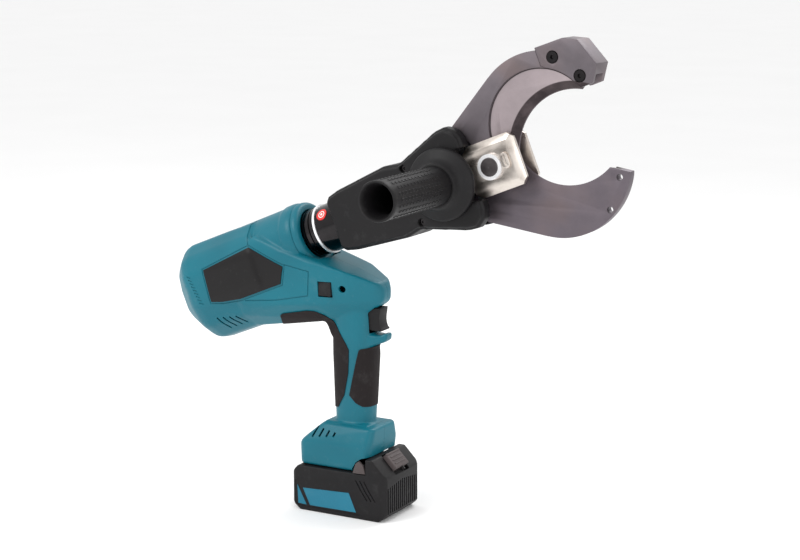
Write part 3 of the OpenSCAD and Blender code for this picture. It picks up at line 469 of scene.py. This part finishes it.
FINISHES["lens_clear"] = clear_lens()
SLOT_OF = {
    "teal_plastic": ("shell_near", "shell_far", "nose_ring"),
    "black_plastic": ("trigger", "release_button", "guard_near", "guard_far", "battery_case", "battery_rail",
                      "terminal_block", "trigger_switch", "side_handle", "handle_flange"),
    "grip_rubber": ("back_grip_pad", "side_grip_pads"),
    "label_black": ("label_plates",),
    "label_light": ("battery_label",),
    "badge_red": ("collar_badge",),
    "button_grey": ("battery_latch",),
    "jaw_steel": ("upper_jaw", "lower_jaw", "guide_block"),
    "cheek_steel": ("cheek_near", "cheek_far", "key_plate"),
    "black_steel": ("cylinder_tube", "shell_screws", "cheek_screws", "guard_screws", "guide_screws",
                    "latch_spring"),
    "bright_steel": ("pivot_pin", "retaining_ring", "piston", "handle_bolt"),
    "plain_steel": ("head_base", "pin_nut", "crosshead", "crosshead_pin", "return_spring", "link_upper",
                    "link_lower", "upper_tail_pin", "lower_tail_pin", "trigger_pin", "trigger_spring",
                    "button_spring", "motor_rotor", "pump_cam", "pump_plunger", "motor_can"),
    "cast_alloy": ("pump_block", "gearbox"),
    "board_green": ("control_board",),
    "contact_brass": ("battery_contacts",),
    "cell_wrap": ("battery_cells",),
    "lens_clear": ("led_lens",),
    "bladder_rubber": ("oil_reservoir", "piston_seal"),
}
for slot, names in SLOT_OF.items():
    for name in names:
        NODES[name].data.materials.clear()
        NODES[name].data.materials.append(FINISHES[slot])
NODES["lower_jaw"].data.materials[0] = LOWER_STEEL
NODES["pin_cap"].data.materials.clear()
NODES["pin_cap"].data.materials.append(FINISHES["dome_steel"])


# ---------- housing ----------

FOOT_TOP = 98
SCREW_WELL_R = 3.9
# from the middle plane to each shell at the seam
SEAM_GAP = 0.12


def on_barrel(points):
    """World points in millimetres of (s, y, w) points in the barrel frame."""
    return [tuple(BARREL @ (Vector(p) * MM) / MM) for p in points]


def motor_points():
    """Sections of the motor housing from the closed rear to the nose, as (s, y, w)."""
    side = [(0, 34.5), (20, 34.5), (37, 21), (44, 3), (44, -32), (35, -57), (17, -73), (0, -74.5)]
    middle_w = -20
    sections = [(-156, 0.955), (-146, 1), (-94, 1), (-58, 0.985)]
    end = [(-178.5, 17, 9), (-178.5, 21, -10), (-179, 20, -35), (-181.5, 12, 2), (-181.8, 13, -27)]
    return mirrored(end) + [(s, sign * y * share, middle_w + (w - middle_w) * share)
                            for s, share in sections for y, w in side for sign in (-1, 1)]


def housing_skin():
    """Outer skin of the whole housing: motor body, nose, neck with its ridge, grip and foot."""
    motor = rounded(hull(on_barrel(motor_points())), 5, 3, 14)
    nose = turned([(-96, 30), (-86, 35.2), (-22, 36), (-20, 37.4), (-11, 37.4), (-6, 35.6), (-6, 0)], BARREL)
    ridge = [(-104, 37, 297), (-94, 39, 293), (-66, 40, 283), (-34, 38, 273.5), (5, 31, 265.5),
             (33, 17, 254.5)]
    crease = [(-116, 41, 222), (-67, 38, 226), (-29, 32, 228), (10, 23, 231), (35, 13, 235)]
    under = [(-95, 14, 198), (-57, 14, 208), (-42, 14, 211.5), (-8, 15, 211), (18, 11, 217)]
    motor_end = [(-142.8, 43.5, 263.8), (-129.7, 43.5, 231.4), (-120.4, 35, 208.2), (-114.4, 17, 193.4)]
    tip = [(36, 9, 254), (40.5, 8, 246), (40.5, 8, 236), (38, 10, 231.5)]
    neck = rounded(hull(mirrored(ridge + crease + under + motor_end + tip)), 3.5, 3, 12)
    web = joined([hull(mirrored([(-36, 14, 214), (-25.5, 14, 203.5), (0, 14, 203), (0, 14, 216)])),
                  hull(mirrored([(-26, 14, 204.5), (-20.5, 14.5, 192), (0, 15, 192), (0, 15, 206)]))])
    column = []
    for x, z, front, across in ((2, 226, 21.5, 17), (2, 214, 23, 18), (1.5, 196, 24.2, 18.8),
                                (2.3, 172, 24.8, 19.3), (1.9, 152, 24, 18.7), (1.4, 128, 22.5, 17.6),
                                (1.5, 107, 21, 16.5), (1.5, 92, 21.5, 17)):
        for i in range(28):
            turn = math.tau * i / 28
            column.append((x + front * math.copysign(abs(math.cos(turn)) ** 0.8, math.cos(turn)),
                           across * math.copysign(abs(math.sin(turn)) ** 0.8, math.sin(turn)), z))
    grip = hull(column)
    lip = rounded(hull(mirrored([(4, 16, 180), (4, 16, 196.5), (25, 12, 184), (30, 11, 196.5),
                                 (40, 7.5, 189), (40, 7.5, 196.5)])), 2.6, 3, 20)
    lip_end = rounded(hull(mirrored([(34, 8, 189), (42, 7, 190.5), (43, 6.5, 197.5), (40.5, 6.5, 199.5),
                                     (34, 8, 196)])), 2, 3, 20)
    collar = hull(mirrored([(-26, 19, 99), (25, 19, 99), (-25, 19, 93), (27, 19, 93)]))
    foot = rounded(hull(mirrored([(-51.5, 29, 50.6), (-47, 33, 50.6), (27, 33, 50.6), (32, 28, 50.6),
                                  (-52.5, 29, 76), (-47, 33, 77), (31, 33, 79), (36, 27, 80),
                                  (-29, 17, 97), (-26, 22, 97.5), (32, 26, 97.5), (36.5, 22, 97)])),
                   3, 3, 12)
    return fused(joined([motor, nose, neck, web, grip, lip, lip_end, collar, foot]), 1.25, 3)


def shell_cuts():
    """Everything that is cut out of the housing: openings, slots, vents and screw wells."""
    cuts = [block((8.5, -10, 198), (60, 10, 227)),
            block((-26, -40, 237), (-10, -20, 254)),
            turned([(-5.9, 0), (-5.9, 35.9), (9, 35.9), (9, 29.5), (44, 29.5), (44, 0)], BARREL),
            turned([(-40, 0), (-40, 26.4), (-5.8, 26.4), (-5.8, 0)], BARREL),
            block((-44, -26.4, 49), (60, 26.4, 58.4)),
            prism([(14.5, 48), (15, 54), (19.5, 61.5), (26, 66), (32.5, 67.5), (60, 69.5), (60, 48)],
                  -40, 40)]
    for low, high, foot_low, foot_high in ((-60, -24, -60, -20), (24, 60, 36, 60)):
        for i in range(4):
            start = Vector((-153 + 7.7 * i, 202 + 1.3 * i))
            slot = band([start, start + Vector((12, 1.4 * i - 13.8))], 1.9)
            cuts.append(prism(slot, low, high))
            x, tall = -34 + 8.2 * i, 5.4 - i
            slot = band([(x - 0.36 * tall, 87 - tall), (x + 0.36 * tall, 87 + tall)], 2.4)
            cuts.append(prism(slot, foot_low, foot_high))
    cuts.append(prism(circle(1, FOOT_TOP + 149, SCREW_WELL_R), -60, -11))
    for x, z in ((-10, FOOT_TOP + 58), (-41.5, FOOT_TOP - 29), (24, FOOT_TOP - 33)):
        cuts.append(prism(circle(x, z, SCREW_WELL_R), 11, 60))
    for s, w in ((-150, -55), (-150, 27), (-104, -62)):
        cuts.append(prism(circle(s, w, SCREW_WELL_R), 11, 60, BARREL))
    return cuts


def housing():
    """Both shells, the grip pads, the label plates and the rim round the cylinder."""
    skin = housing_skin()
    proud = grown(skin, 0.9, 1.5)
    high = grown(skin, 2.5, 1.6)
    sunk = grown(skin, -1.0, 1.5)
    shallow = grown(skin, -0.7, 1.5)
    hollow = grown(skin, -3.0, 2.4)

    def plate(outline, outer, inner, low=-60, high_y=60, place=Matrix.Identity(4)):
        return less(within(prism(outline, low, high_y, place), outer.copy()), inner.copy())

    back = plate([(-77, 207), (-76, 211), (-72, 213.5), (-42, 219.5), (-33, 219), (-24, 214.5), (-12, 202.5),
                  (0, 186), (3.5, 180), (3.5, 170), (2.5, 154), (-3, 129), (-11.5, 115), (-40, 108),
                  (-60, 150), (-84, 190)], proud, sunk)
    front = plate([(15, 180), (17, 181.5), (50, 187), (50, 120), (24, 117.5), (18, 118), (11, 122),
                   (3.5, 130)], proud, sunk)
    label = [(-124, 3), (-60, 9), (-27, -23), (-37, -39.5), (-91, -40), (-114, -36.5), (-127.5, -32.5)]
    plates = [plate(label, proud, sunk, low, top, BARREL) for low, top in ((-60, -20), (20, 60))]
    lines = []
    rim = [(-126, 4.4), (-59.8, 11.4), (-24.6, -22.4), (-35.5, -41.4), (-91, -42), (-114.5, -38.6),
           (-129.6, -34), (-126, 4.4)]
    panel = [(-25, -21), (0, -37), (-12.5, -61), (-50, -54), (-86, -43.5)]
    for low, top in ((-60, -20), (20, 60)):
        for path, width in ((panel, 1.3), (rim, 0.9)):
            lines.append(plate(band(path, width), high, shallow, low, top, BARREL))
        for i in range(9):
            tick = band([(-188 + 2.1 * i, 245 - 3.4 * i), (-182.5 + 2.1 * i, 244.2 - 3.4 * i)], 1.1)
            lines.append(plate(tick, high, shallow, low, top))
    step = less(turned([(-61.2, 20), (-61.2, 48), (-59.6, 48), (-59.6, 20)], BARREL),
                block((-120, -60, -70), (-20, 60, 10), BARREL))
    lines.append(less(step, shallow.copy()))

    shell = less(skin, hollow)
    shell = less(shell, joined([back.copy(), front.copy()] + [p.copy() for p in plates]))
    shell = less(shell, joined(lines))
    for cut in shell_cuts():
        shell = less(shell, cut)
    near = within(shell.copy(), block((-300, -120, 0), (200, -SEAM_GAP, 500)))
    far = within(shell, block((-300, SEAM_GAP, 0), (200, 120, 500)))
    rim_ring = turned([(-5.75, 26.5), (-5.75, 35.8), (-3, 35.8), (-1.2, 35.3), (0.3, 34.3), (1.2, 33),
                       (1.5, 31.4), (1.5, 28.6), (1, 27.2), (0, 26.5), (-5.75, 26.5)], BARREL, 96)
    piece("nose_rim", rim_ring, "housing", "teal_plastic", "nose_ring")
    piece("housing_near", near, "housing", "teal_plastic", "shell_near")
    piece("housing_far", far, "housing", "teal_plastic", "shell_far")
    piece("web_pad", back, "housing", "grip_rubber", "back_grip_pad")
    piece("finger_pad", front, "housing", "grip_rubber", "side_grip_pads")
    piece("side_plates", joined(plates), "housing", "label_black", "label_plates")


housing()


# ---------- guard, handle and head ----------

def soft_guard(node):
    """A guard half with its edges moulded round."""
    shape = fused(merged_copy(node), 1.3, 5)
    piece(node + "_moulded", shape, "head", "black_plastic", node)


soft_guard("guard_near")
soft_guard("guard_far")
HANDLE = (BARREL @ Matrix.Translation(Vector((HANDLE_S, -GUARD_HY, 0)) * MM)
          @ Matrix.Rotation(-math.pi / 2, 4, "Z"))


def handle():
    """Dished flange, and a tube with rows of raised pads."""
    flange = turned([(0, 6.4), (0, 35.6), (0.6, 36.8), (2, 37.4), (5, 37.4), (6.6, 36.8), (8, 35.2),
                     (10.5, 29), (12.6, 26), (16, 24), (18.6, 23.2), (19.7, 22.4), (20, 21.4), (20, 20.1),
                     (10, 20.1), (10, 6.4), (0, 6.4)], HANDLE, 96)
    piece("handle_disc", flange, "head", "black_plastic", "handle_flange")
    tube = turned([(10, 6.4), (10, 19.9), (129, 19.9), (131, 20.5), (134.6, 20.5), (135.7, 20.1),
                   (136, 19.2), (136, 18.6), (135.4, 18.0), (131, 16.2), (122, 14.9), (110, 14.5),
                   (30, 14.5), (30, 13.4), (14, 13.4), (14, 6.4), (10, 6.4)], HANDLE, 96)
    pads = []
    for row in range(20):
        for i in range(13):
            x = 40 + 6.6 * i + (3.3 if row % 2 else 0)
            pad = hull([(dx, dy, 19.4) for dx in (-2.4, 2.4) for dy in (-1.9, 1.9)]
                       + [(dx, dy, 20.5) for dx in (-1.5, 1.5) for dy in (-1.1, 1.1)])
            turn = Matrix.Rotation(math.tau * row / 20, 4, "X")
            place = HANDLE @ turn @ Matrix.Translation((x * MM, 0, 0))
            bmesh.ops.transform(pad, verts=pad.verts, matrix=place)
            pads.append(pad)
    piece("handle_tube", joined([tube] + pads), "head", "black_plastic", "side_handle")


handle()


def head_metal():
    """Jaws, guide block, cheeks, nut and key plate with their edges broken."""
    softened("upper_jaw", "upper_jaw", "jaw_steel", 0.35, "upper_blade", sharper_than=20)
    softened("lower_jaw", "lower_jaw", "jaw_steel", 0.35, "lower_blade", sharper_than=20, finish=LOWER_STEEL)
    softened("guide_block", "upper_jaw", "jaw_steel", 0.7)
    softened("cheek_near", "head", "cheek_steel", 0.6)
    softened("cheek_far", "head", "cheek_steel", 0.6)
    softened("pin_nut", "head", "plain_steel", 0.8)
    softened("key_plate", "head", "cheek_steel", 0.3)


head_metal()


def trigger():
    """Finger lever with a hollowed face."""
    face = [(36, 226), (35.4, 221), (34.6, 216.5), (34.4, 212), (35, 208), (36.4, 204.5), (38.6, 202.4)]
    lever = prism([(9, 225)] + face + [(37, 201), (30, 200.9), (10, 201.8)], -9, 9)
    lever = less(rounded(lever, 1.7, 3, 30), prism(circle(15, 221, 2.1), -12, 12))
    piece("finger_lever", lever, "trigger", "black_plastic", "trigger")


trigger()
softened("release_button", "release_button", "black_plastic", 1.0, segments=3)


# ---------- battery ----------

# half its length, half its width, and its height to the foot
BATTERY_HALF = 58.5
BATTERY_SIDE = 37.5
BATTERY_H = 50


def upright(outline, low, high):
    """Outline of (x, y) in millimetres, from z = low to z = high."""
    return prism(outline, -high, -low, Matrix.Rotation(-math.pi / 2, 4, "X"))


def battery():
    """Case with its tower, latch key, side keys and labels."""
    plan = [(-BATTERY_HALF, -34), (-55, -BATTERY_SIDE), (55, -BATTERY_SIDE), (BATTERY_HALF, -34),
            (BATTERY_HALF, 34), (55, BATTERY_SIDE), (-55, BATTERY_SIDE), (-BATTERY_HALF, 34)]
    side = [(-48.5, 0), (-BATTERY_HALF, 8), (-BATTERY_HALF, 42), (-50.5, BATTERY_H), (33, BATTERY_H),
            (33, 67), (41, 67), (BATTERY_HALF, 49), (BATTERY_HALF, 8), (49.5, 0)]
    case = rounded(within(prism(side, -60, 60), upright(plan, -5, 90)), 1.8, 3, 18)
    cuts = []
    for across in (-1, 1):
        # sunk panel round the label, and slanted grooves beside the tower
        panel = [(-54.5, 33), (-54.5, 9), (-50, 4.5), (28, 4.5), (18, 40), (-50, 36)]
        low, high = sorted((across * 36.9, across * 42))
        cuts.append(prism(panel, low, high))
        for i in range(3):
            thin_band = band([(22 + 5 * i, 43), (28 + 5 * i, 33), (36 + 5 * i, 22)], 1.3)
            low, high = sorted((across * 36.6, across * 42))
            cuts.append(prism(thin_band, low, high))
    for i in range(15):
        y = -31.5 + 4.5 * i
        tall = 41 - 0.12 * abs(y)
        cuts.append(block((57.6, y - 1.0, 9), (64, y + 1.0, tall)))
    for cut in cuts:
        case = less(case, cut)
    latch = Matrix.Translation(Vector((50, 0, 58.3)) * MM) @ Matrix.Rotation(math.radians(45), 4, "Y")
    case = less(case, block((-13, -15, -6), (13, 15, 6), latch))
    piece("battery_shell", case, "battery", "black_plastic", "battery_case", crease=30)

    key = rounded(block((-11, -14, -5.7), (8, 14, 4.4), latch), 0.9, 3)
    rim = rounded(block((-11, -14, 3), (-8.6, 14, 5.1), latch), 0.6, 2)
    bars = [rounded(block((-6.2 + 4.2 * i, -10.5, 4), (-4.6 + 4.2 * i, 10.5, 5.1), latch), 0.4, 2)
            for i in range(3)]
    piece("battery_latch_key", joined([key, rim] + bars), "battery_latch", "button_grey", "battery_latch")

    side_keys = []
    labels = []
    for across in (-1, 1):
        key = rounded(hull([(x, across * y, z) for y in (34.5, 37.9) for x, z in
                            ((18, 50.4), (33.5, 51), (31, 60), (25.5, 64.5), (21.5, 61))]), 0.8, 2)
        side_keys.append(key)
        for outline in ([(-44.5, 25), (13, 27.5), (22, 7), (-35.5, 6.5)],
                        [(-51.5, 28), (-40, 6.5), (-50.5, 7)]):
            low, high = sorted((across * 36.7, across * 37.3))
            labels.append(rounded(prism(outline, low, high), 0.15, 1))
    piece("battery_side_keys", joined(side_keys), "battery", "button_grey")
    piece("battery_side_labels", joined(labels), "battery", "label_light", "battery_label")


battery()


# ---------- floor, light and camera ----------

def pale_floor():
    paint = Paint("pale_floor")
    mist = paint.noise(3, 3)
    return paint.finish(colour=paint.mix(mist, linear(244, 244, 244), linear(248, 248, 248)),
                        roughness=0.9 + mist * 0.05)


def studio():
    """Plain pale floor, a soft key lamp high at the left, two weaker lamps and a white backdrop."""
    ground_shape = bmesh.new()
    bmesh.ops.create_grid(ground_shape, x_segments=1, y_segments=1, size=60)
    ground_plane = as_object(ground_shape, "floor")
    ground_plane.data.materials.append(pale_floor())

    def lamp(name, place, aim, size, power):
        light = bpy.data.lights.new(name, "AREA")
        light.shape = "DISK"
        light.size = size
        light.energy = power
        item = bpy.data.objects.new(name, light)
        item.location = place
        item.rotation_euler = (Vector(aim) - Vector(place)).to_track_quat("-Z", "Y").to_euler()
        bpy.context.scene.collection.objects.link(item)

    lamp("key", (-0.9, -1.5, 1.9), (0, 0, 0.3), 1.2, 26)
    lamp("fill", (1.7, -1.2, 0.9), (0.1, 0, 0.3), 1.0, 6)
    lamp("rim", (0.3, 1.2, 1.5), (0.1, 0, 0.3), 1.0, 12)

    world = bpy.data.worlds.new("backdrop")
    world.use_nodes = True
    background = world.node_tree.nodes["Background"]
    background.inputs["Color"].default_value = (1, 1, 1, 1)
    background.inputs["Strength"].default_value = 1.0
    bpy.context.scene.world = world

    bpy.context.scene.view_settings.view_transform = "Standard"


def camera():
    lens = bpy.data.cameras.new("camera")
    lens.lens = 85.5
    lens.sensor_width = 36
    lens.clip_end = 30
    item = bpy.data.objects.new("camera", lens)
    aim = Vector((55.3, 0, 257.3)) * MM
    back = Vector((0.476, -0.859, 0.191)).normalized()
    item.location = aim + back * 2
    item.rotation_euler = (-back).to_track_quat("-Z", "Y").to_euler()
    bpy.context.scene.collection.objects.link(item)
    bpy.context.scene.camera = item


studio()
camera()
